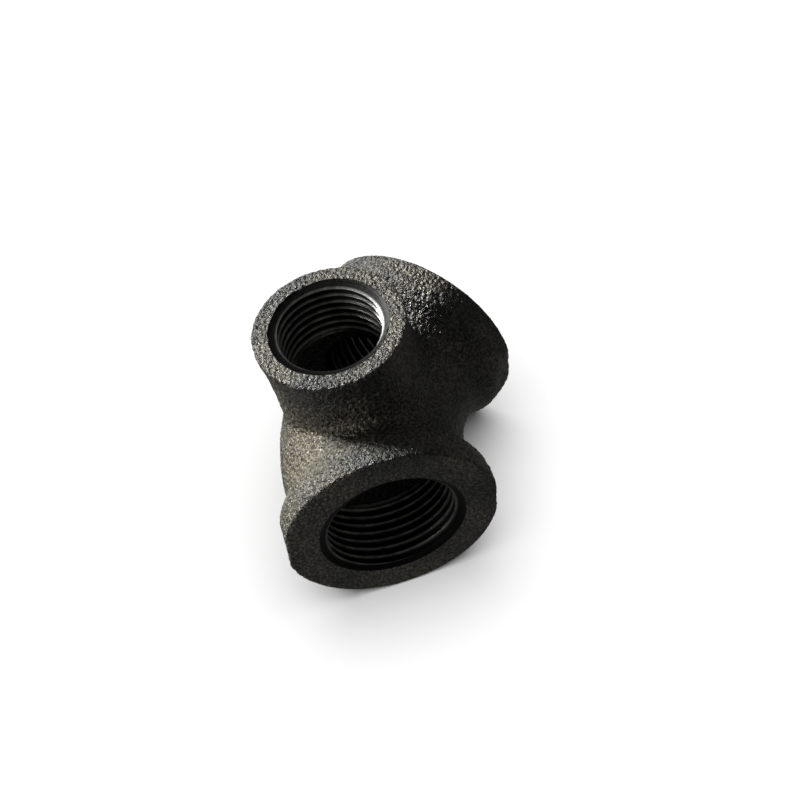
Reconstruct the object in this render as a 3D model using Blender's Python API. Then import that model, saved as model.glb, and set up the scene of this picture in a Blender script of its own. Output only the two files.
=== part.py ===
"""A side-outlet elbow in black malleable cast iron, modelled in metres with +Z up.

Two equal banded arms lie level, 135 degrees apart, and a smaller plain outlet stands square to
them.  All three mouths are tapped with right-hand pipe thread.  X = 0 is the mirror plane of the
outside shape, both arms lean towards -Y, and the fitting stands on Z = 0 with its bounding box
centred on X and Y.  The casting is divided at its own features, with a hairline seam between
neighbours, and each tapped thread is a ring of its own.
"""

import math

import bmesh
import bpy
from mathutils import Vector

# Arms: two equal ends for the larger pipe.
ARM_ANGLE = math.radians(135)
ARM_REACH = 0.0249
ARM_NECK_WALL = 0.0030
ARM_BAND_RISE = 0.0027
ARM_BAND_WIDTH = 0.0056
ARM_SOCKET_WALL = 0.0013

# Outlet: one plain end for the smaller pipe, square to the arms.
OUTLET_REACH = 0.0286
OUTLET_FACE_WALL = 0.0021
OUTLET_ROOT_WALL = 0.0017
OUTLET_FOOT_WALL = 0.0027
OUTLET_FOOT_LEAN = 0.0024

# Turn of the body between the arms.
BODY_BEND_RADIUS = 0.0340
ARM_SHOULDER = 0.0005
OUTLET_SHOULDER = 0.0022
PASSAGE_LAND = 0.0006

# Right-hand pipe threads: 14 turns to the inch and one depth on both sizes.
PITCH = 0.0254 / 14
THREAD_DEPTH = 0.001162
ARM_THREAD_RADIUS = 0.013221
ARM_THREAD_LENGTH = 0.0145
OUTLET_THREAD_RADIUS = 0.010478
OUTLET_THREAD_LENGTH = 0.0130
MOUTH_COUNTERSINK = 0.0004
THREAD_BACKING = 0.0006
THREAD_SEAT_DEPTH = 0.0020
CORE_RELIEF = 0.00015
RUN_OUT_TURNS = 1.5
CREST_FRACTION = 0.125
ROOT_FRACTION = 0.125

# Small details and fits.
EDGE_ROUNDING = 0.0005
SEAM = 0.0003

# Fineness of the faceted surfaces.
ROUND_STEPS = 48
THREAD_STEPS = 24
BEND_STEPS = 8
FLARE_STEPS = 4
CORNER_STEPS = 2

# Radii that follow from the threads and the walls round them.
ARM_MOUTH_RADIUS = ARM_THREAD_RADIUS + MOUTH_COUNTERSINK
ARM_RING_RADIUS = ARM_MOUTH_RADIUS + THREAD_BACKING
ARM_CORE_RADIUS = ARM_THREAD_RADIUS + CORE_RELIEF
ARM_NECK_RADIUS = ARM_RING_RADIUS + ARM_NECK_WALL
ARM_BAND_RADIUS = ARM_NECK_RADIUS + ARM_BAND_RISE
ARM_SOCKET_RADIUS = ARM_RING_RADIUS + SEAM + ARM_SOCKET_WALL
OUTLET_MOUTH_RADIUS = OUTLET_THREAD_RADIUS + MOUTH_COUNTERSINK
OUTLET_RING_RADIUS = OUTLET_MOUTH_RADIUS + THREAD_BACKING
OUTLET_CORE_RADIUS = OUTLET_THREAD_RADIUS + CORE_RELIEF
OUTLET_FACE_RADIUS = OUTLET_RING_RADIUS + OUTLET_FACE_WALL
OUTLET_ROOT_RADIUS = OUTLET_RING_RADIUS + OUTLET_ROOT_WALL
OUTLET_FOOT_RADIUS = OUTLET_RING_RADIUS + OUTLET_FOOT_WALL

# Places along the axes, measured from the crossing.
HALF_TURN = (math.pi - ARM_ANGLE) / 2
BODY_BEND_LENGTH = BODY_BEND_RADIUS * math.tan(HALF_TURN)
ARM_RING_FOOT = ARM_REACH - ARM_THREAD_LENGTH
OUTLET_RING_FOOT = max(
    OUTLET_REACH - OUTLET_THREAD_LENGTH,
    ARM_RING_RADIUS + THREAD_BACKING + 2 * SEAM,
)
ARM_SEAM = max(
    OUTLET_FOOT_RADIUS + OUTLET_FOOT_LEAN * math.sin(HALF_TURN) + ARM_SHOULDER,
    BODY_BEND_LENGTH + ARM_SHOULDER,
    ARM_RING_FOOT + THREAD_SEAT_DEPTH,
)
OUTLET_SEAM = max(ARM_NECK_RADIUS + OUTLET_SHOULDER, OUTLET_RING_FOOT + THREAD_SEAT_DEPTH)
PASSAGE_BEND_RADIUS = (ARM_RING_FOOT - SEAM - PASSAGE_LAND) / math.tan(HALF_TURN)

# Edges of the fitting on either side of the crossing, along Y.
BELLY_TOP = ARM_NECK_RADIUS - BODY_BEND_RADIUS * (1 / math.cos(HALF_TURN) - 1)
BAND_FRONT = (
    (ARM_REACH - EDGE_ROUNDING) * math.sin(HALF_TURN)
    + (ARM_BAND_RADIUS - EDGE_ROUNDING) * math.cos(HALF_TURN)
    + EDGE_ROUNDING
)


def clear_scene():
    for obj in list(bpy.data.objects):
        bpy.data.objects.remove(obj)


def add_object(name, bm, material, rotation=(0, 0, 0)):
    """Turn a bmesh into a smooth-shaded object that hangs from the crossing of the axes."""
    bmesh.ops.recalc_face_normals(bm, faces=bm.faces)
    mesh = bpy.data.meshes.new(name)
    bm.to_mesh(mesh)
    bm.free()
    mesh.shade_smooth()
    mesh.set_sharp_from_angle(angle=math.radians(35))
    if material:
        mesh.materials.append(material)
    obj = bpy.data.objects.new(name, mesh)
    bpy.context.scene.collection.objects.link(obj)
    obj.parent = crossing
    obj.rotation_euler = rotation
    return obj


def metal(name, colour, roughness, metallic):
    material = bpy.data.materials.new(name)
    material.use_nodes = True
    shader = material.node_tree.nodes["Principled BSDF"]
    shader.inputs["Base Color"].default_value = (*colour, 1)
    shader.inputs["Roughness"].default_value = roughness
    shader.inputs["Metallic"].default_value = metallic
    return material


def cast_iron(name):
    return metal(name + "_iron", (0.020, 0.020, 0.018), 0.62, 0.35)


def cut_iron(name):
    return metal(name + "_iron", (0.075, 0.072, 0.066), 0.38, 0.85)


def turned(outline):
    """Spin an outline of (radius, height) points about Z: closed, or ending on the axis."""
    bm = bmesh.new()
    points = [bm.verts.new((radius, 0, height)) for radius, height in outline]
    edges = [bm.edges.new((a, b)) for a, b in zip(points, points[1:])]
    if outline[0][0] > 0:
        edges.append(bm.edges.new((points[-1], points[0])))
    bmesh.ops.spin(
        bm,
        geom=points + edges,
        cent=(0, 0, 0),
        axis=(0, 0, 1),
        angle=math.tau,
        steps=ROUND_STEPS,
        use_merge=True,
    )
    bmesh.ops.remove_doubles(bm, verts=bm.verts, dist=1e-7)
    return bm


def rounded_corner(radius, height):
    """Points of a quarter round that ends an outer surface at a face, from the side to the face."""
    centre = (radius - EDGE_ROUNDING, height - EDGE_ROUNDING)
    turns = [math.pi / 2 * step / CORNER_STEPS for step in range(CORNER_STEPS + 1)]
    return [
        (centre[0] + EDGE_ROUNDING * math.cos(turn), centre[1] + EDGE_ROUNDING * math.sin(turn))
        for turn in turns
    ]


def socket_outline():
    """Plain wall of an arm's mouth, between its thread and its band."""
    inner = ARM_RING_RADIUS + SEAM
    start = ARM_SEAM + SEAM
    return [
        (inner, start),
        (ARM_SOCKET_RADIUS, start),
        (ARM_SOCKET_RADIUS, ARM_REACH),
        (inner, ARM_REACH),
    ]


def band_outline():
    """Raised band round a mouth, with the flare that swells out of the body behind it."""
    inner = ARM_SOCKET_RADIUS + SEAM
    start = ARM_SEAM + SEAM
    outline = [(inner, ARM_REACH), (inner, start)]
    flare_length = ARM_REACH - ARM_BAND_WIDTH - start
    for step in range(FLARE_STEPS + 1):
        share = step / FLARE_STEPS
        swell = (1 - math.cos(math.pi * share)) / 2
        outline.append((ARM_NECK_RADIUS + ARM_BAND_RISE * swell, start + flare_length * share))
    outline.extend(rounded_corner(ARM_BAND_RADIUS, ARM_REACH))
    return outline


def outlet_outline():
    """Plain outlet tube, a little slimmer at its root than at its face."""
    inner = OUTLET_RING_RADIUS + SEAM
    start = OUTLET_SEAM + SEAM
    outline = [(inner, OUTLET_REACH), (inner, start), (OUTLET_ROOT_RADIUS, start)]
    outline.extend(rounded_corner(OUTLET_FACE_RADIUS, OUTLET_REACH))
    return outline


def thread_depth(fraction):
    """Share of the full thread depth at a fraction of one turn, from crest 0 to root 1."""
    flank = (1 - CREST_FRACTION - ROOT_FRACTION) / 2
    if fraction < CREST_FRACTION:
        return 0
    if fraction < CREST_FRACTION + flank:
        return (fraction - CREST_FRACTION) / flank
    if fraction < 1 - flank:
        return 1
    return (1 - fraction) / flank


def threaded_ring(thread_radius, foot, reach):
    """Ring with a right-hand internal thread, countersunk at the mouth and run out at its foot."""
    crest_radius = thread_radius - THREAD_DEPTH
    mouth_radius = thread_radius + MOUTH_COUNTERSINK
    ring_radius = mouth_radius + THREAD_BACKING
    length = reach - foot
    flank = (1 - CREST_FRACTION - ROOT_FRACTION) / 2
    breaks = [
        0,
        CREST_FRACTION,
        CREST_FRACTION + flank / 2,
        CREST_FRACTION + flank,
        1 - flank,
        1 - flank / 2,
    ]
    turns = math.ceil(length / PITCH) + 1
    rows = [turn + part for turn in range(-1, turns) for part in breaks]

    def point(column, row):
        angle = math.tau * column / THREAD_STEPS
        height = min(max(PITCH * (rows[row] + column / THREAD_STEPS), 0), length)
        fraction = (height / PITCH - column / THREAD_STEPS) % 1
        if fraction > 1 - 1e-6:
            fraction = 0
        fade = min(height / (RUN_OUT_TURNS * PITCH), 1)
        radius = crest_radius + THREAD_DEPTH * thread_depth(fraction) * fade
        radius = max(radius, mouth_radius - (length - height))
        return Vector((radius * math.cos(angle), radius * math.sin(angle), foot + height))

    bm = bmesh.new()
    columns = range(THREAD_STEPS)
    grid = [[bm.verts.new(point(column, row)) for row in range(len(rows))] for column in columns]
    foot_ring = []
    face_ring = []
    for column in columns:
        angle = math.tau * column / THREAD_STEPS
        side = (ring_radius * math.cos(angle), ring_radius * math.sin(angle))
        foot_ring.append(bm.verts.new((*side, foot)))
        face_ring.append(bm.verts.new((*side, reach)))
    for column in columns:
        after = (column + 1) % THREAD_STEPS
        shift = len(breaks) if after == 0 else 0
        for row in range(len(rows) - 1 - shift):
            bm.faces.new(
                (
                    grid[column][row],
                    grid[column][row + 1],
                    grid[after][row + 1 + shift],
                    grid[after][row + shift],
                )
            )
        bm.faces.new((grid[column][0], grid[after][0], foot_ring[after], foot_ring[column]))
        bm.faces.new((grid[column][-1], grid[after][-1], face_ring[after], face_ring[column]))
        bm.faces.new((foot_ring[column], foot_ring[after], face_ring[after], face_ring[column]))
    bmesh.ops.remove_doubles(bm, verts=bm.verts, dist=1e-7)
    bmesh.ops.dissolve_degenerate(bm, dist=1e-7, edges=bm.edges)
    return bm


def bend_ring(tube_radius, bend_radius, turn, forward):
    """One ring of a bent tube: a circle on a plane hinged about the centre of the bend."""
    across = Vector((math.sin(turn), math.cos(turn), 0))
    along = Vector((math.cos(turn), -math.sin(turn), 0))
    centre = Vector((0, -bend_radius / math.cos(HALF_TURN), 0)) + along * forward
    ring = []
    for step in range(ROUND_STEPS):
        angle = math.tau * step / ROUND_STEPS
        height = Vector((0, 0, tube_radius * math.sin(angle)))
        ring.append(centre + across * (bend_radius + tube_radius * math.cos(angle)) + height)
    return ring


def bent_tube(tube_radius, bend_radius, steps_out):
    """Solid that follows the turn and both arms; steps_out gives (distance, radius) along an arm."""
    bend_length = bend_radius * math.tan(HALF_TURN)
    rings = []
    for distance, radius in reversed(steps_out):
        rings.append(bend_ring(radius, bend_radius, -HALF_TURN, bend_length - distance))
    for step in range(BEND_STEPS + 1):
        turn = HALF_TURN * (2 * step / BEND_STEPS - 1)
        rings.append(bend_ring(tube_radius, bend_radius, turn, 0))
    for distance, radius in steps_out:
        rings.append(bend_ring(radius, bend_radius, HALF_TURN, distance - bend_length))
    bm = bmesh.new()
    loops = [[bm.verts.new(place) for place in ring] for ring in rings]
    for near, far in zip(loops, loops[1:]):
        for step in range(ROUND_STEPS):
            after = (step + 1) % ROUND_STEPS
            bm.faces.new((near[step], near[after], far[after], far[step]))
    bm.faces.new(loops[0])
    bm.faces.new(loops[-1])
    return bm


def boolean(obj, other, operation):
    modifier = obj.modifiers.new(other.name, "BOOLEAN")
    modifier.operation = operation
    modifier.object = other
    other.hide_render = True
    other.display_type = "WIRE"


def add_body():
    """Hollow turn of the fitting; the outlet's foot on it leans out towards the crotch."""
    shell = bent_tube(ARM_NECK_RADIUS, BODY_BEND_RADIUS, [(ARM_SEAM, ARM_NECK_RADIUS)])
    body = add_object("elbow_body", shell, cast_iron("elbow_body"))
    foot = turned(
        [
            (0, 0),
            (OUTLET_FOOT_RADIUS, 0),
            (OUTLET_FOOT_RADIUS, ARM_NECK_RADIUS / 2),
            (OUTLET_ROOT_RADIUS, OUTLET_SEAM),
            (0, OUTLET_SEAM),
        ]
    )
    for vert in foot.verts:
        vert.co.y -= OUTLET_FOOT_LEAN * (1 - vert.co.z / OUTLET_SEAM)
    boolean(body, add_object("outlet_foot_tool", foot, None), "UNION")
    ring_room = ARM_RING_RADIUS + SEAM
    foot_end = ARM_RING_FOOT - SEAM
    steps_out = [(foot_end, ARM_CORE_RADIUS), (foot_end, ring_room), (ARM_SEAM + SEAM, ring_room)]
    passage = bent_tube(ARM_CORE_RADIUS, PASSAGE_BEND_RADIUS, steps_out)
    boolean(body, add_object("arm_passage_tool", passage, None), "DIFFERENCE")
    ring_room = OUTLET_RING_RADIUS + SEAM
    foot_end = OUTLET_RING_FOOT - SEAM
    bore = turned(
        [
            (0, 0),
            (OUTLET_CORE_RADIUS, 0),
            (OUTLET_CORE_RADIUS, foot_end),
            (ring_room, foot_end),
            (ring_room, OUTLET_SEAM + SEAM),
            (0, OUTLET_SEAM + SEAM),
        ]
    )
    boolean(body, add_object("outlet_passage_tool", bore, None), "DIFFERENCE")


def add_arm(side, heading):
    """Socket, band and thread of one arm, whose axis leaves the crossing at this heading."""
    tilt = (0, math.pi / 2, heading)
    add_object(side + "_socket", turned(socket_outline()), cast_iron(side + "_socket"), tilt)
    add_object(side + "_band", turned(band_outline()), cast_iron(side + "_band"), tilt)
    ring = threaded_ring(ARM_THREAD_RADIUS, ARM_RING_FOOT, ARM_REACH)
    add_object(side + "_thread", ring, cut_iron(side + "_thread"), tilt)


def add_outlet():
    add_object("outlet_socket", turned(outlet_outline()), cast_iron("outlet_socket"))
    ring = threaded_ring(OUTLET_THREAD_RADIUS, OUTLET_RING_FOOT, OUTLET_REACH)
    add_object("outlet_thread", ring, cut_iron("outlet_thread"))


clear_scene()
crossing = bpy.data.objects.new("crossing", None)
bpy.context.scene.collection.objects.link(crossing)
crossing.location = (0, (BAND_FRONT - BELLY_TOP) / 2, ARM_BAND_RADIUS)
add_body()
add_arm("front", math.pi + HALF_TURN)
add_arm("rear", -HALF_TURN)
add_outlet()
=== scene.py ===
"""Finished look of a side-outlet elbow in black malleable cast iron.

The fitting is made the way the foundry makes it: one cored sand casting, faced and tapped at its
three mouths.  It is then parted at the same features as its frame.
"""

import math

import bpy
import numpy
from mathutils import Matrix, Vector


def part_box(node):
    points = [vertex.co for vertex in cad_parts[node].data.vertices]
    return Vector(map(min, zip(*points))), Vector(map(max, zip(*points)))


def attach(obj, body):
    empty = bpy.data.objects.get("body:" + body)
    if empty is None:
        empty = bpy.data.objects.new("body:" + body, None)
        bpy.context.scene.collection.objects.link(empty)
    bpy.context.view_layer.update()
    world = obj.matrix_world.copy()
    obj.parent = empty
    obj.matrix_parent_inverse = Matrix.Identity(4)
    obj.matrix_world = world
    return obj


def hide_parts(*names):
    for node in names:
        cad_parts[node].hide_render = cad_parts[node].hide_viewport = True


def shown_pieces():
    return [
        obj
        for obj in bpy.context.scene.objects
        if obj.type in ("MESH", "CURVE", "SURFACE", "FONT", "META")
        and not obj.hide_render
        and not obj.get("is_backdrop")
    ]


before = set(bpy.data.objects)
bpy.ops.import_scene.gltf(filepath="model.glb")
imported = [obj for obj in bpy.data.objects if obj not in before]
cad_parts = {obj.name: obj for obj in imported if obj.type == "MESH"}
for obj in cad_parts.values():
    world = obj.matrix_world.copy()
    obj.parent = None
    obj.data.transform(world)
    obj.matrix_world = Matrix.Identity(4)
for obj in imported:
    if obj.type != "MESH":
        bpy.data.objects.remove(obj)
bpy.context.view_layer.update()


# The casting: one piece of malleable iron, poured in sand round a core.  Two arms for the larger
# pipe turn 45 degrees round a soft elbow, and a tube for the smaller pipe stands square to both,
# filled out towards the crotch where the pattern needed draft.
MM = 0.001
ARM_TURN = math.radians(22.5)
outlet_low, outlet_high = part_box("outlet_socket")
band_low, band_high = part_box("front_band")
CROSSING = Vector((0, (outlet_low.y + outlet_high.y) / 2, (band_low.z + band_high.z) / 2))
ARM_HEADINGS = {"front": math.pi + ARM_TURN, "rear": -ARM_TURN}

ARM_REACH = 24.9 * MM
BAND_RADIUS = 19.9 * MM
NECK_RADIUS = 17.1 * MM
ELBOW_RADIUS = 34.0 * MM
ELBOW_TANGENT = ELBOW_RADIUS * math.tan(ARM_TURN)
ARM_OUTLINE = [
    (ARM_REACH, 19.6 * MM),
    (24.6 * MM, BAND_RADIUS),
    (21.2 * MM, BAND_RADIUS),
    (19.6 * MM, 19.6 * MM),
    (18.2 * MM, 18.9 * MM),
    (16.8 * MM, 17.7 * MM),
    (15.6 * MM, 17.2 * MM),
    (ELBOW_TANGENT, NECK_RADIUS),
]

OUTLET_REACH = 28.6 * MM
OUTLET_OUTLINE = [
    (OUTLET_REACH, 13.6 * MM, 0.0),
    (28.25 * MM, 13.85 * MM, 0.0),
    (24.0 * MM, 13.4 * MM, 0.2 * MM),
    (17.5 * MM, 13.6 * MM, 1.0 * MM),
    (10.0 * MM, 14.3 * MM, 1.8 * MM),
    (0.0, 14.6 * MM, 2.2 * MM),
]

CORE_ELBOW_RADIUS = 22.9 * MM
CORE_TANGENT = CORE_ELBOW_RADIUS * math.tan(ARM_TURN)
ARM_CORE_OUTLINE = [
    (26.5 * MM, 11.5 * MM),
    (11.4 * MM, 11.5 * MM),
    (CORE_TANGENT, 13.3 * MM),
]
OUTLET_CORE_OUTLINE = [
    (30.0 * MM, 8.8 * MM, 0.0),
    (16.2 * MM, 8.8 * MM, 0.0),
    (14.6 * MM, 10.5 * MM, 0.0),
    (0.0, 10.5 * MM, 0.0),
]
ROUND_STEPS = 128
ELBOW_STEPS = 20
SKIN_VOXEL = 0.27 * MM


def arm_direction(heading):
    return Vector((math.cos(heading), math.sin(heading), 0))


def choose(piece):
    """Make one piece the only one selected, and the active one."""
    bpy.ops.object.select_all(action="DESELECT")
    piece.select_set(True)
    bpy.context.view_layer.objects.active = piece


def start_disc(name, radius, place, turn):
    """A round plate in edit mode, all of it selected, ready to be drawn out into a blank."""
    bpy.ops.object.select_all(action="DESELECT")
    bpy.ops.mesh.primitive_circle_add(
        vertices=ROUND_STEPS, radius=radius, fill_type="NGON", location=place, rotation=turn
    )
    disc = bpy.context.object
    disc.name = name
    bpy.ops.object.transform_apply(location=True, rotation=True, scale=True)
    bpy.ops.object.mode_set(mode="EDIT")
    bpy.ops.mesh.select_all(action="SELECT")
    return disc


def draw_out(travel, growth, new_centre):
    """Extrude the selected cap by a vector and scale it about its new centre."""
    bpy.ops.mesh.extrude_region_move(TRANSFORM_OT_translate={"value": travel})
    bpy.ops.transform.resize(value=(growth, growth, growth), center_override=new_centre)


def close_blank(blank):
    bpy.ops.mesh.select_all(action="SELECT")
    bpy.ops.mesh.remove_doubles(threshold=1e-6)
    bpy.ops.mesh.normals_make_consistent(inside=False)
    bpy.ops.object.mode_set(mode="OBJECT")
    return blank


def elbow_blank(name, outline, elbow_radius):
    """Solid along both arms: drawn in from the front mouth, spun round the elbow, drawn out."""
    inward = -arm_direction(ARM_HEADINGS["front"])
    outward = arm_direction(ARM_HEADINGS["rear"])
    reach, radius = outline[0]
    place = CROSSING - inward * reach
    blank = start_disc(name, radius, place, (0, math.pi / 2, ARM_HEADINGS["front"]))
    for (far, wide), (near, narrow) in zip(outline, outline[1:]):
        place = CROSSING - inward * near
        draw_out(inward * (far - near), narrow / wide, place)
    pivot = CROSSING - Vector((0, elbow_radius / math.cos(ARM_TURN), 0))
    bpy.ops.mesh.spin(steps=ELBOW_STEPS, angle=2 * ARM_TURN, center=pivot, axis=(0, 0, 1))
    for (near, narrow), (far, wide) in zip(outline[::-1], outline[-2::-1]):
        place = CROSSING + outward * far
        draw_out(outward * (far - near), wide / narrow, place)
    return close_blank(blank)


def outlet_blank(name, outline):
    """Solid of the outlet, drawn down from its face; each ring may lean towards the crotch."""
    height, radius, lean = outline[0]
    place = CROSSING + Vector((0, -lean, height))
    blank = start_disc(name, radius, place, (0, 0, 0))
    for (_, wide, _), (height, narrow, lean) in zip(outline, outline[1:]):
        next_place = CROSSING + Vector((0, -lean, height))
        draw_out(next_place - place, narrow / wide, next_place)
        place = next_place
    return close_blank(blank)


def finish_modifier(piece, modifier):
    choose(piece)
    bpy.ops.object.modifier_apply(modifier=modifier.name)


def shape_with(piece, tool, operation, keep_tool=False):
    """Union, difference or intersection of a piece with a tool, applied to its mesh."""
    cut = piece.modifiers.new(tool.name, "BOOLEAN")
    cut.operation = operation
    cut.solver = "MANIFOLD"
    cut.object = tool
    finish_modifier(piece, cut)
    if not keep_tool:
        bpy.data.objects.remove(tool)


casting = elbow_blank("casting", ARM_OUTLINE, ELBOW_RADIUS)
shape_with(casting, outlet_blank("outlet_pattern", OUTLET_OUTLINE), "UNION")


CROTCH_FLAT = 19.6 * MM
BELLY_FLAT = 19.5 * MM
FLAT_TILT = math.radians(6)
WHEEL_WIDTH = 9 * MM
WHEEL_DEPTH = 10 * MM
WHEEL_HEIGHT = 44 * MM
WHEEL_SET_BACK = 3 * MM


def grind_flat(piece, heading, side, distance, tilt):
    """Where the mould halves met, the flash is ground off each band and leaves a small flat."""
    sideways = arm_direction(heading + side * math.pi / 2)
    bpy.ops.object.select_all(action="DESELECT")
    bpy.ops.mesh.primitive_cube_add(size=1, location=(0, 0, 0))
    wheel = bpy.context.object
    wheel.name = "wheel"
    wheel.scale = (WHEEL_WIDTH, WHEEL_DEPTH, WHEEL_HEIGHT)
    bpy.ops.object.transform_apply(location=True, rotation=True, scale=True)
    wheel.location = CROSSING + arm_direction(heading) * (ARM_REACH - WHEEL_SET_BACK)
    wheel.location += sideways * (distance + WHEEL_DEPTH / 2)
    wheel.rotation_euler = (tilt, 0, heading)
    bpy.ops.object.transform_apply(location=True, rotation=True, scale=True)
    bpy.ops.object.mode_set(mode="EDIT")
    bpy.ops.mesh.select_all(action="SELECT")
    bpy.ops.mesh.subdivide(number_cuts=1)
    bpy.ops.object.mode_set(mode="OBJECT")
    shape_with(piece, wheel, "DIFFERENCE")


for arm, crotch_side in (("front", 1), ("rear", -1)):
    tilt = -crotch_side * FLAT_TILT
    grind_flat(casting, ARM_HEADINGS[arm], crotch_side, CROTCH_FLAT, tilt)
    grind_flat(casting, ARM_HEADINGS[arm], -crotch_side, BELLY_FLAT, tilt)
core = elbow_blank("core", ARM_CORE_OUTLINE, CORE_ELBOW_RADIUS)
shape_with(core, outlet_blank("outlet_core", OUTLET_CORE_OUTLINE), "UNION")
shape_with(casting, core, "DIFFERENCE")


def even_skin(piece):
    """Lay an even net of small faces over a piece."""
    net = piece.modifiers.new("even_skin", "REMESH")
    net.mode = "VOXEL"
    net.voxel_size = SKIN_VOXEL
    finish_modifier(piece, net)


even_skin(casting)


# The foundry's finish on the casting: soft fillets where the outlet grows out of the elbow, slow
# waves where the mould gave a little, and the sand's grain under near-black annealing scale and
# oil.  The two arm faces were turned before tapping, so the grain is almost gone there.
FILLET_WIDTH = 3.4 * MM
FILLET_CORE = 0.4
FILLET_PASSES = 140
OUTER_SKIN_FROM = 15 * MM
WEIGHT_STEPS = 50
FACE_DEPTH = 0.35 * MM
FACE_GRAIN = 0.28
GRAIN_SIZE = 0.95 * MM
GRAIN_HEIGHT = 0.24 * MM
GRIT_SIZE = 1.1 * MM
GRIT_HEIGHT = 0.14 * MM
WAVE_SIZE = 7.0 * MM
WAVE_HEIGHT = 0.35 * MM


def points_of(piece):
    """All vertex places of a piece, as one array."""
    places = numpy.empty(len(piece.data.vertices) * 3, numpy.float32)
    piece.data.vertices.foreach_get("co", places)
    return places.reshape(-1, 3).astype(float)


def add_weights(piece, name, weights):
    """Vertex group with one weight for each vertex, rounded so that equal ones go in together."""
    group = piece.vertex_groups.new(name=name)
    steps = numpy.round(numpy.clip(weights, 0, 1) * WEIGHT_STEPS).astype(int)
    for step in numpy.unique(steps):
        if step:
            members = numpy.nonzero(steps == step)[0].tolist()
            group.add(members, step / WEIGHT_STEPS, "REPLACE")
    return group


def smooth_share(values, low, high):
    share = numpy.clip((values - low) / (high - low), 0, 1)
    return share * share * (3 - 2 * share)


def arm_shares(piece):
    """Where each vertex lies: its distance along its own arm, and how far off the run's axis."""
    places = points_of(piece) - numpy.array(CROSSING)
    arm_side = numpy.abs(places[:, 0])
    along = arm_side * math.cos(ARM_TURN) - places[:, 1] * math.sin(ARM_TURN)
    across = arm_side * math.sin(ARM_TURN) + places[:, 1] * math.cos(ARM_TURN)
    from_pivot = numpy.hypot(places[:, 0], places[:, 1] + ELBOW_RADIUS / math.cos(ARM_TURN))
    off_axis = numpy.where(along > ELBOW_TANGENT, across, from_pivot - ELBOW_RADIUS)
    return places, along, numpy.hypot(off_axis, places[:, 2])


def outlet_at(heights, column):
    """The outlet's radius (column 1) or lean (column 2) at each height."""
    steps = OUTLET_OUTLINE[::-1]
    return numpy.interp(heights, [step[0] for step in steps], [step[column] for step in steps])


places, along, from_axis = arm_shares(casting)
from_outlet = numpy.hypot(places[:, 0], places[:, 1] + outlet_at(places[:, 2], 2))
from_outlet = from_outlet - outlet_at(places[:, 2], 1)
from_root = numpy.hypot(from_axis - NECK_RADIUS, from_outlet)
near_root = 1 - smooth_share(from_root, FILLET_CORE * FILLET_WIDTH, FILLET_WIDTH)
near_root = near_root * (from_axis > OUTER_SKIN_FROM) * (places[:, 2] > 0)
add_weights(casting, "fillets", near_root)
fillets = casting.modifiers.new("fillets", "SMOOTH")
fillets.factor = 0.5
fillets.iterations = FILLET_PASSES
fillets.vertex_group = "fillets"
finish_modifier(casting, fillets)
casting.vertex_groups.clear()
even_skin(casting)

along = arm_shares(casting)[1]
arm_face = smooth_share(along, ARM_REACH - FACE_DEPTH, ARM_REACH - FACE_DEPTH / 2)
add_weights(casting, "grain", 1 - arm_face * (1 - FACE_GRAIN))


def press_grain(piece, kind, size, height):
    """Push the skin in and out with a pattern of one size: slow clouds, or the sand's pebbles."""
    pattern = bpy.data.textures.new(kind.lower(), kind)
    pattern.noise_scale = size
    press = piece.modifiers.new(kind.lower(), "DISPLACE")
    press.texture = pattern
    press.texture_coords = "LOCAL"
    press.strength = height
    press.mid_level = 0.5
    press.vertex_group = "grain"
    finish_modifier(piece, press)


press_grain(casting, "CLOUDS", WAVE_SIZE, WAVE_HEIGHT)
press_grain(casting, "CLOUDS", GRIT_SIZE, GRIT_HEIGHT)
press_grain(casting, "VORONOI", GRAIN_SIZE, -GRAIN_HEIGHT)


def link(tree, start, start_socket, end, end_socket):
    tree.links.new(start.outputs[start_socket], end.inputs[end_socket])


def add_node(tree, kind, **settings):
    node = tree.nodes.new(kind)
    for name, value in settings.items():
        node.inputs[name.replace("_", " ")].default_value = value
    return node


# Centre and size of a brownish patch of painted light on the front shoulder, where the key lamp's
# light pools.
SHOULDER_LIGHT_PLACE = CROSSING + arm_direction(ARM_HEADINGS["front"]) * 15 * MM + Vector((0, 9 * MM, 11 * MM))
SHOULDER_LIGHT_RADIUS = 14 * MM


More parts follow.
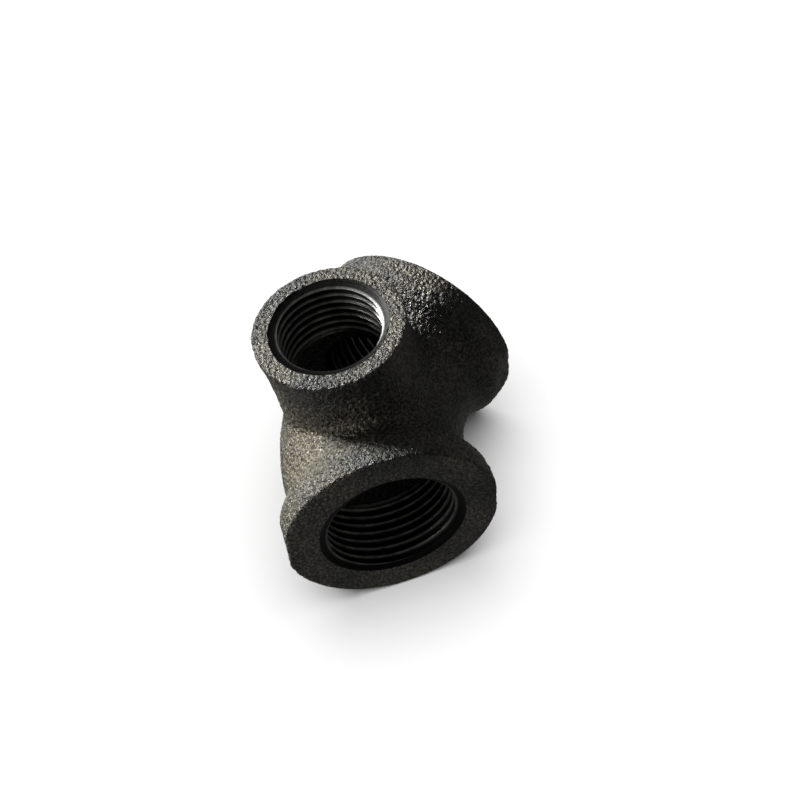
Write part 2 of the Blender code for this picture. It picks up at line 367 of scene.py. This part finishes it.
def skin_material():
    """Near-black scale with random bright flecks painted in as glints of the grain, and a brownish
    patch of painted light on the front shoulder.
    """
    material = bpy.data.materials.new("black_casting_skin")
    material.use_nodes = True
    tree = material.node_tree
    shader = tree.nodes["Principled BSDF"]
    shader.inputs["IOR"].default_value = 1.5
    place = tree.nodes.new("ShaderNodeTexCoord")

    patches = add_node(tree, "ShaderNodeTexNoise", Scale=110, Detail=3)
    link(tree, place, "Object", patches, "Vector")
    tint = tree.nodes.new("ShaderNodeValToRGB")
    tint.color_ramp.elements[0].position = 0.38
    tint.color_ramp.elements[0].color = (0.042, 0.0427, 0.0375, 1)
    tint.color_ramp.elements[1].position = 0.62
    tint.color_ramp.elements[1].color = (0.110, 0.100, 0.073, 1)
    link(tree, patches, "Fac", tint, "Fac")
    shader.inputs["Metallic"].default_value = 0.3

    # Painted pool of light: a brighter brownish patch that fades out round the front shoulder.
    centred = tree.nodes.new("ShaderNodeMapping")
    centred.vector_type = "TEXTURE"
    centred.inputs["Location"].default_value = SHOULDER_LIGHT_PLACE
    centred.inputs["Scale"].default_value = (SHOULDER_LIGHT_RADIUS,) * 3
    link(tree, place, "Object", centred, "Vector")
    shoulder_light_falloff = tree.nodes.new("ShaderNodeTexGradient")
    shoulder_light_falloff.gradient_type = "SPHERICAL"
    link(tree, centred, "Vector", shoulder_light_falloff, "Vector")
    shoulder_light_mix = tree.nodes.new("ShaderNodeMixRGB")
    shoulder_light_mix.inputs["Color2"].default_value = (0.145, 0.123, 0.077, 1)
    link(tree, shoulder_light_falloff, "Fac", shoulder_light_mix, "Fac")
    link(tree, tint, "Color", shoulder_light_mix, "Color1")
    # Random bright flecks painted into the base colour as glints of the key lamp on the grain, dark
    # between them.
    glint_specks = add_node(tree, "ShaderNodeTexNoise", Scale=1900, Detail=2)
    link(tree, place, "Object", glint_specks, "Vector")
    painted_glints = tree.nodes.new("ShaderNodeValToRGB")
    painted_glints.color_ramp.elements[0].position = 0.43
    painted_glints.color_ramp.elements[0].color = (0.15, 0.15, 0.15, 1)
    painted_glints.color_ramp.elements[1].position = 0.60
    painted_glints.color_ramp.elements[1].color = (1.0, 1.0, 1.0, 1)
    link(tree, glint_specks, "Fac", painted_glints, "Fac")
    glint_tint = tree.nodes.new("ShaderNodeMixRGB")
    glint_tint.blend_type = "MULTIPLY"
    glint_tint.inputs["Fac"].default_value = 1.0
    link(tree, shoulder_light_mix, "Color", glint_tint, "Color1")
    link(tree, painted_glints, "Color", glint_tint, "Color2")
    link(tree, glint_tint, "Color", shader, "Base Color")

    gloss = add_node(tree, "ShaderNodeTexNoise", Scale=1500, Detail=2)
    link(tree, place, "Object", gloss, "Vector")
    rough = add_node(
        tree, "ShaderNodeMapRange", From_Min=0.35, From_Max=0.65, To_Min=0.24, To_Max=0.52
    )
    link(tree, gloss, "Fac", rough, "Value")
    link(tree, rough, "Result", shader, "Roughness")

    pebbles = add_node(tree, "ShaderNodeTexVoronoi", Scale=1500)
    pebbles.feature = "SMOOTH_F1"
    pebbles.inputs["Smoothness"].default_value = 0.35
    link(tree, place, "Object", pebbles, "Vector")
    dust = add_node(tree, "ShaderNodeTexNoise", Scale=3400, Detail=2)
    link(tree, place, "Object", dust, "Vector")
    grain_height = tree.nodes.new("ShaderNodeMath")
    grain_height.operation = "MULTIPLY_ADD"
    grain_height.inputs[1].default_value = -1.0
    link(tree, pebbles, "Distance", grain_height, 0)
    link(tree, dust, "Fac", grain_height, 2)
    bump = add_node(tree, "ShaderNodeBump", Strength=1.0, Distance=0.36 * MM)
    link(tree, grain_height, "Value", bump, "Height")
    link(tree, bump, "Normal", shader, "Normal")
    return material


black_skin = skin_material()


# The three tapped mouths: the machinist reams each cored hole in the iron, breaks its edge with a
# countersink and runs a right-hand tap of 14 turns to the inch down it.  The threads fade out at
# the foot.  Their crests are painted brighter, as worn metal and as a painted highlight, and the
# grooves darker, as oil and as painted shade.
PITCH = 25.4 / 14 * MM
THREAD_DEPTH = 1.162 * MM
CREST_FLAT = 0.10
ROOT_FLAT = 0.10
COUNTERSINK = 0.4 * MM
SINK_DEPTH = 0.60 * MM
SINK_STEP = 0.25 * MM
RUN_OUT = 1.5 * PITCH
THREAD_ROUND_STEPS = 120
ARM_THREAD = {"radius": 13.221 * MM, "length": 14.5 * MM, "reach": ARM_REACH}
OUTLET_THREAD = {"radius": 10.478 * MM, "length": 13.0 * MM, "reach": OUTLET_REACH}
MOUTHS = {
    "front": {**ARM_THREAD, "start": 130},
    "rear": {**ARM_THREAD, "start": 80},
    "outlet": {**OUTLET_THREAD, "start": 20},
}
CORE_OVERLAP = 0.5 * MM
ABOVE_FACE = 2 * MM
BELOW_FOOT = 2 * MM
REAMER_POINT = 1.2 * MM
CREST_ROOM = 0.1 * MM
ROOT_ROOM = 0.05 * MM
PLUG_ROOM = 0.02 * MM
PLUG_FOOT = 0.6 * MM
PLUG_HEAD = 3 * MM
CREST_LIGHT_SHARE = 0.45


def turned_tool(name, outline):
    """Round tool on its own Z axis, drawn up through (height, radius) steps."""
    height, radius = outline[0]
    place = Vector((0, 0, height))
    tool = start_disc(name, radius, place, (0, 0, 0))
    for (low, wide), (high, narrow) in zip(outline, outline[1:]):
        place = Vector((0, 0, high))
        draw_out(Vector((0, 0, high - low)), narrow / wide, place)
    return close_blank(tool)


def tap_for(mouth):
    """The tap's cut, with the mouth's face at height 0: helical teeth, reamer and countersink."""
    root = mouth["radius"]
    crest = root - THREAD_DEPTH
    tooth_root = PITCH * (1 - CREST_FLAT)
    tooth_tip = PITCH * ROOT_FLAT
    inside = crest - CORE_OVERLAP
    corners = [
        (inside, -tooth_root / 2),
        (crest, -tooth_root / 2),
        (root, -tooth_tip / 2),
        (root, tooth_tip / 2),
        (crest, tooth_root / 2),
        (inside, tooth_root / 2),
    ]
    bpy.ops.object.select_all(action="DESELECT")
    bpy.ops.mesh.primitive_circle_add(vertices=len(corners), radius=root, fill_type="NOTHING")
    teeth = bpy.context.object
    teeth.name = "teeth"
    for vertex, (radius, height) in zip(teeth.data.vertices, corners):
        vertex.co = (radius, 0, height)
    turns = math.ceil(mouth["length"] / PITCH) + 2
    helix = teeth.modifiers.new("helix", "SCREW")
    helix.axis = "Z"
    helix.angle = math.tau
    helix.screw_offset = PITCH
    helix.iterations = turns
    helix.steps = THREAD_ROUND_STEPS
    helix.render_steps = THREAD_ROUND_STEPS
    helix.use_merge_vertices = False
    finish_modifier(teeth, helix)
    bpy.ops.object.mode_set(mode="EDIT")
    bpy.ops.mesh.select_all(action="SELECT")
    bpy.ops.mesh.fill_holes(sides=0)
    bpy.ops.mesh.select_all(action="SELECT")
    bpy.ops.mesh.normals_make_consistent(inside=False)
    bpy.ops.transform.translate(value=(0, 0, -mouth["length"]))
    bpy.ops.transform.rotate(
        value=math.radians(mouth["start"]), orient_axis="Z", center_override=(0, 0, 0)
    )
    bpy.ops.object.mode_set(mode="OBJECT")

    foot = -mouth["length"]
    envelope = turned_tool(
        "envelope",
        [
            (foot - BELOW_FOOT, crest - CREST_ROOM),
            (foot, crest - CREST_ROOM),
            (foot + RUN_OUT, root + ROOT_ROOM),
            (ABOVE_FACE, root + ROOT_ROOM),
        ],
    )
    shape_with(teeth, envelope, "INTERSECT")
    reamer = turned_tool("reamer", [(foot - REAMER_POINT, crest), (ABOVE_FACE, crest)])
    shape_with(teeth, reamer, "UNION")
    mouth_radius = root + COUNTERSINK
    sink = turned_tool(
        "sink",
        [
            (-SINK_DEPTH, crest),
            (-SINK_STEP, root),
            (0, mouth_radius),
            (1 * MM, mouth_radius + 1 * MM),
        ],
    )
    shape_with(teeth, sink, "UNION")
    return teeth


def stand_in_mouth(tool, side, reach):
    """Carry a tool made on its own axis to one mouth of the fitting, and fix it there."""
    choose(tool)
    if side == "outlet":
        tool.location = CROSSING + Vector((0, 0, reach))
    else:
        heading = ARM_HEADINGS[side]
        tool.rotation_euler = (0, math.pi / 2, heading)
        tool.location = CROSSING + arm_direction(heading) * reach
    bpy.ops.object.transform_apply(location=True, rotation=True, scale=True)


threads = {}
for side, mouth in MOUTHS.items():
    plug_radius = mouth["radius"] + COUNTERSINK + PLUG_ROOM
    plug_foot = -mouth["length"] - PLUG_FOOT
    plug = turned_tool("plug", [(plug_foot, plug_radius), (PLUG_HEAD, plug_radius)])
    stand_in_mouth(plug, side, mouth["reach"])
    tap = tap_for(mouth)
    stand_in_mouth(tap, side, mouth["reach"])
    thread = casting.copy()
    thread.data = casting.data.copy()
    thread.name = side + "_tapped_mouth"
    bpy.context.scene.collection.objects.link(thread)
    shape_with(thread, plug, "INTERSECT", keep_tool=True)
    shape_with(thread, tap, "DIFFERENCE")
    shape_with(casting, plug, "DIFFERENCE")
    threads[side] = thread


def cut_material(side, mouth):
    """Clean grey cut iron, its crests painted bright as worn metal and a painted highlight, its
    grooves painted dark as oil and painted shade.
    """
    material = bpy.data.materials.new(side + "_tapped_iron")
    material.use_nodes = True
    tree = material.node_tree
    shader = tree.nodes["Principled BSDF"]
    shader.inputs["Metallic"].default_value = 1.0
    place = tree.nodes.new("ShaderNodeTexCoord")
    axial = tree.nodes.new("ShaderNodeMapping")
    axial.vector_type = "TEXTURE"
    if side == "outlet":
        axial.inputs["Location"].default_value = CROSSING + Vector((0, 0, mouth["reach"]))
    else:
        heading = ARM_HEADINGS[side]
        axial.inputs["Location"].default_value = CROSSING + arm_direction(heading) * mouth["reach"]
        axial.inputs["Rotation"].default_value = (0, math.pi / 2, heading)
    link(tree, place, "Object", axial, "Vector")
    across = tree.nodes.new("ShaderNodeVectorMath")
    across.operation = "MULTIPLY"
    across.inputs[1].default_value = (1, 1, 0)
    link(tree, axial, "Vector", across, 0)
    radius = tree.nodes.new("ShaderNodeVectorMath")
    radius.operation = "LENGTH"
    link(tree, across, "Vector", radius, 0)
    crest = mouth["radius"] - THREAD_DEPTH
    # Crests bright and grooves dark, by radius from the axis: worn metal and oil, and also a painted
    # highlight on the crests and painted shade in the grooves.
    crest_light_groove_shade = add_node(
        tree,
        "ShaderNodeMapRange",
        From_Min=crest,
        From_Max=crest + CREST_LIGHT_SHARE * THREAD_DEPTH,
        To_Min=1.0,
        To_Max=0.0,
    )
    link(tree, radius, "Value", crest_light_groove_shade, "Value")
    stain = add_node(tree, "ShaderNodeTexNoise", Scale=420, Detail=5)
    link(tree, place, "Object", stain, "Vector")
    worn_and_painted_light = tree.nodes.new("ShaderNodeMath")
    worn_and_painted_light.operation = "MULTIPLY"
    link(tree, crest_light_groove_shade, "Result", worn_and_painted_light, 0)
    link(tree, stain, "Fac", worn_and_painted_light, 1)
    tint = tree.nodes.new("ShaderNodeValToRGB")
    tint.color_ramp.elements[0].position = 0.05
    tint.color_ramp.elements[0].color = (0.008, 0.008, 0.0077, 1)
    tint.color_ramp.elements[1].position = 0.6
    tint.color_ramp.elements[1].color = (0.21, 0.207, 0.196, 1)
    link(tree, worn_and_painted_light, "Value", tint, "Fac")
    link(tree, tint, "Color", shader, "Base Color")
    rough = add_node(tree, "ShaderNodeMapRange", To_Min=0.48, To_Max=0.24)
    link(tree, worn_and_painted_light, "Value", rough, "Value")
    link(tree, rough, "Result", shader, "Roughness")

    along = tree.nodes.new("ShaderNodeSeparateXYZ")
    link(tree, axial, "Vector", along, "Vector")
    turning = tree.nodes.new("ShaderNodeCombineXYZ")
    link(tree, radius, "Value", turning, "X")
    link(tree, along, "Z", turning, "Y")
    rings = add_node(tree, "ShaderNodeTexNoise", Scale=5200, Detail=2)
    link(tree, turning, "Vector", rings, "Vector")
    torn = add_node(tree, "ShaderNodeTexNoise", Scale=1500, Detail=4)
    link(tree, place, "Object", torn, "Vector")
    marks = tree.nodes.new("ShaderNodeMath")
    marks.operation = "ADD"
    link(tree, rings, "Fac", marks, 0)
    link(tree, torn, "Fac", marks, 1)
    bump = add_node(tree, "ShaderNodeBump", Strength=0.7, Distance=0.09 * MM)
    link(tree, marks, "Value", bump, "Height")
    link(tree, bump, "Normal", shader, "Normal")
    return material


for side, thread in threads.items():
    thread.data.materials.clear()
    thread.data.materials.append(cut_material(side, MOUTHS[side]))
    thread.vertex_groups.clear()
    choose(thread)
    bpy.ops.object.shade_smooth_by_angle(angle=math.radians(30))
    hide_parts(side + "_thread")
    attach(thread, "root")


# The four stretches of the iron casting: its two banded mouths, its plain outlet and the elbow
# that joins them.  The real one is a single pour, and is only parted here, so that each stretch
# answers to its own part of the frame.
ARM_PARTING = 15.75 * MM
OUTLET_PARTING = 19.57 * MM
ARM_SAW = 30 * MM
OUTLET_SAW = 17 * MM
SAW_LENGTH = 20 * MM
shells = {}
for side, parting, saw_radius in (
    ("front", ARM_PARTING, ARM_SAW),
    ("rear", ARM_PARTING, ARM_SAW),
    ("outlet", OUTLET_PARTING, OUTLET_SAW),
):
    saw = turned_tool("saw", [(0, saw_radius), (SAW_LENGTH, saw_radius)])
    stand_in_mouth(saw, side, parting)
    shell = casting.copy()
    shell.data = casting.data.copy()
    shell.name = side + "_mouth_casting"
    bpy.context.scene.collection.objects.link(shell)
    shape_with(shell, saw, "INTERSECT", keep_tool=True)
    shape_with(casting, saw, "DIFFERENCE")
    shells[side] = shell
casting.name = "elbow_casting"
shells["elbow"] = casting


STANDS_FOR = {
    "front": ("front_band", "front_socket"),
    "rear": ("rear_band", "rear_socket"),
    "outlet": ("outlet_socket",),
    "elbow": ("elbow_body",),
}
for side, shell in shells.items():
    shell.data.materials.clear()
    shell.data.materials.append(black_skin)
    shell.vertex_groups.clear()
    choose(shell)
    bpy.ops.object.shade_smooth_by_angle(angle=math.radians(60))
    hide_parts(*STANDS_FOR[side])
    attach(shell, "root")


# The bench: a sheet of white paper under an even sky, with the casting lit by one soft lamp high
# behind it and a weaker one from the left.  A third lamp reaches only the tapped threads.
FLOOR_SIZE = 4
LAMP_DISTANCE = 1.2
bpy.ops.object.select_all(action="DESELECT")
bpy.ops.mesh.primitive_plane_add(size=FLOOR_SIZE, location=(0, 0, 0))
floor = bpy.context.object
floor.name = "floor"
paper = bpy.data.materials.new("white_paper")
paper.use_nodes = True
paper_shader = paper.node_tree.nodes["Principled BSDF"]
paper_shader.inputs["Base Color"].default_value = (0.85, 0.85, 0.85, 1)
paper_shader.inputs["Roughness"].default_value = 0.9
floor.data.materials.append(paper)
floor.visible_glossy = False
floor.visible_diffuse = False
floor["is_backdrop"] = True


def add_lamp(name, direction, size, power, lit):
    """Round soft lamp, aimed at the crossing, that lights only the pieces in one collection."""
    lamp = bpy.data.lights.new(name, "AREA")
    lamp.shape = "DISK"
    lamp.size = size
    lamp.energy = power
    holder = bpy.data.objects.new(name, lamp)
    bpy.context.scene.collection.objects.link(holder)
    way = Vector(direction).normalized()
    holder.location = CROSSING + way * LAMP_DISTANCE
    holder.rotation_euler = (-way).to_track_quat("-Z", "Y").to_euler()
    holder.light_linking.receiver_collection = lit


lit_casting = bpy.data.collections.new("lit_casting")
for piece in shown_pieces():
    lit_casting.objects.link(piece)
lit_threads = bpy.data.collections.new("lit_threads")
for thread in threads.values():
    lit_threads.objects.link(thread)
lit_paper = bpy.data.collections.new("lit_paper")
lit_paper.objects.link(floor)
add_lamp("key", (0.41, 0.71, 0.574), size=0.26, power=54, lit=lit_casting)
add_lamp("left", (-0.55, 0.80, 0.22), size=0.4, power=9, lit=lit_casting)
add_lamp("bores", (-0.50, 0.75, 0.48), size=0.2, power=7, lit=lit_threads)
sky = bpy.data.lights.new("sky", "SUN")
sky.energy = 3.6
sky.angle = math.radians(70)
sky_holder = bpy.data.objects.new("sky", sky)
bpy.context.scene.collection.objects.link(sky_holder)
sky_holder.light_linking.receiver_collection = lit_paper
world = bpy.data.worlds.new("studio")
world.use_nodes = True
sky_tree = world.node_tree
dim_sky = sky_tree.nodes["Background"]
dim_sky.inputs["Color"].default_value = (1, 1, 1, 1)
dim_sky.inputs["Strength"].default_value = 0.155
seen_sky = sky_tree.nodes.new("ShaderNodeBackground")
seen_sky.inputs["Color"].default_value = (1, 1, 1, 1)
seen = sky_tree.nodes.new("ShaderNodeLightPath")
either = sky_tree.nodes.new("ShaderNodeMixShader")
link(sky_tree, seen, "Is Camera Ray", either, 0)
link(sky_tree, dim_sky, "Background", either, 1)
link(sky_tree, seen_sky, "Background", either, 2)
link(sky_tree, either, "Shader", sky_tree.nodes["World Output"], "Surface")
bpy.context.scene.world = world
bpy.context.scene.view_settings.view_transform = "Standard"

CAMERA_PLACE = CROSSING + Vector((-147.9, -60.03, 207.2)) * MM
CAMERA_TURN = (36.965, 9.396, -83.238)
CAMERA_LENS = 61.9
camera = bpy.data.objects.new("camera", bpy.data.cameras.new("camera"))
camera.data.lens = CAMERA_LENS
camera.data.clip_start = 10 * MM
camera.data.clip_end = 10
camera.location = CAMERA_PLACE
camera.rotation_euler = [math.radians(turn) for turn in CAMERA_TURN]
bpy.context.scene.collection.objects.link(camera)
bpy.context.scene.camera = camera
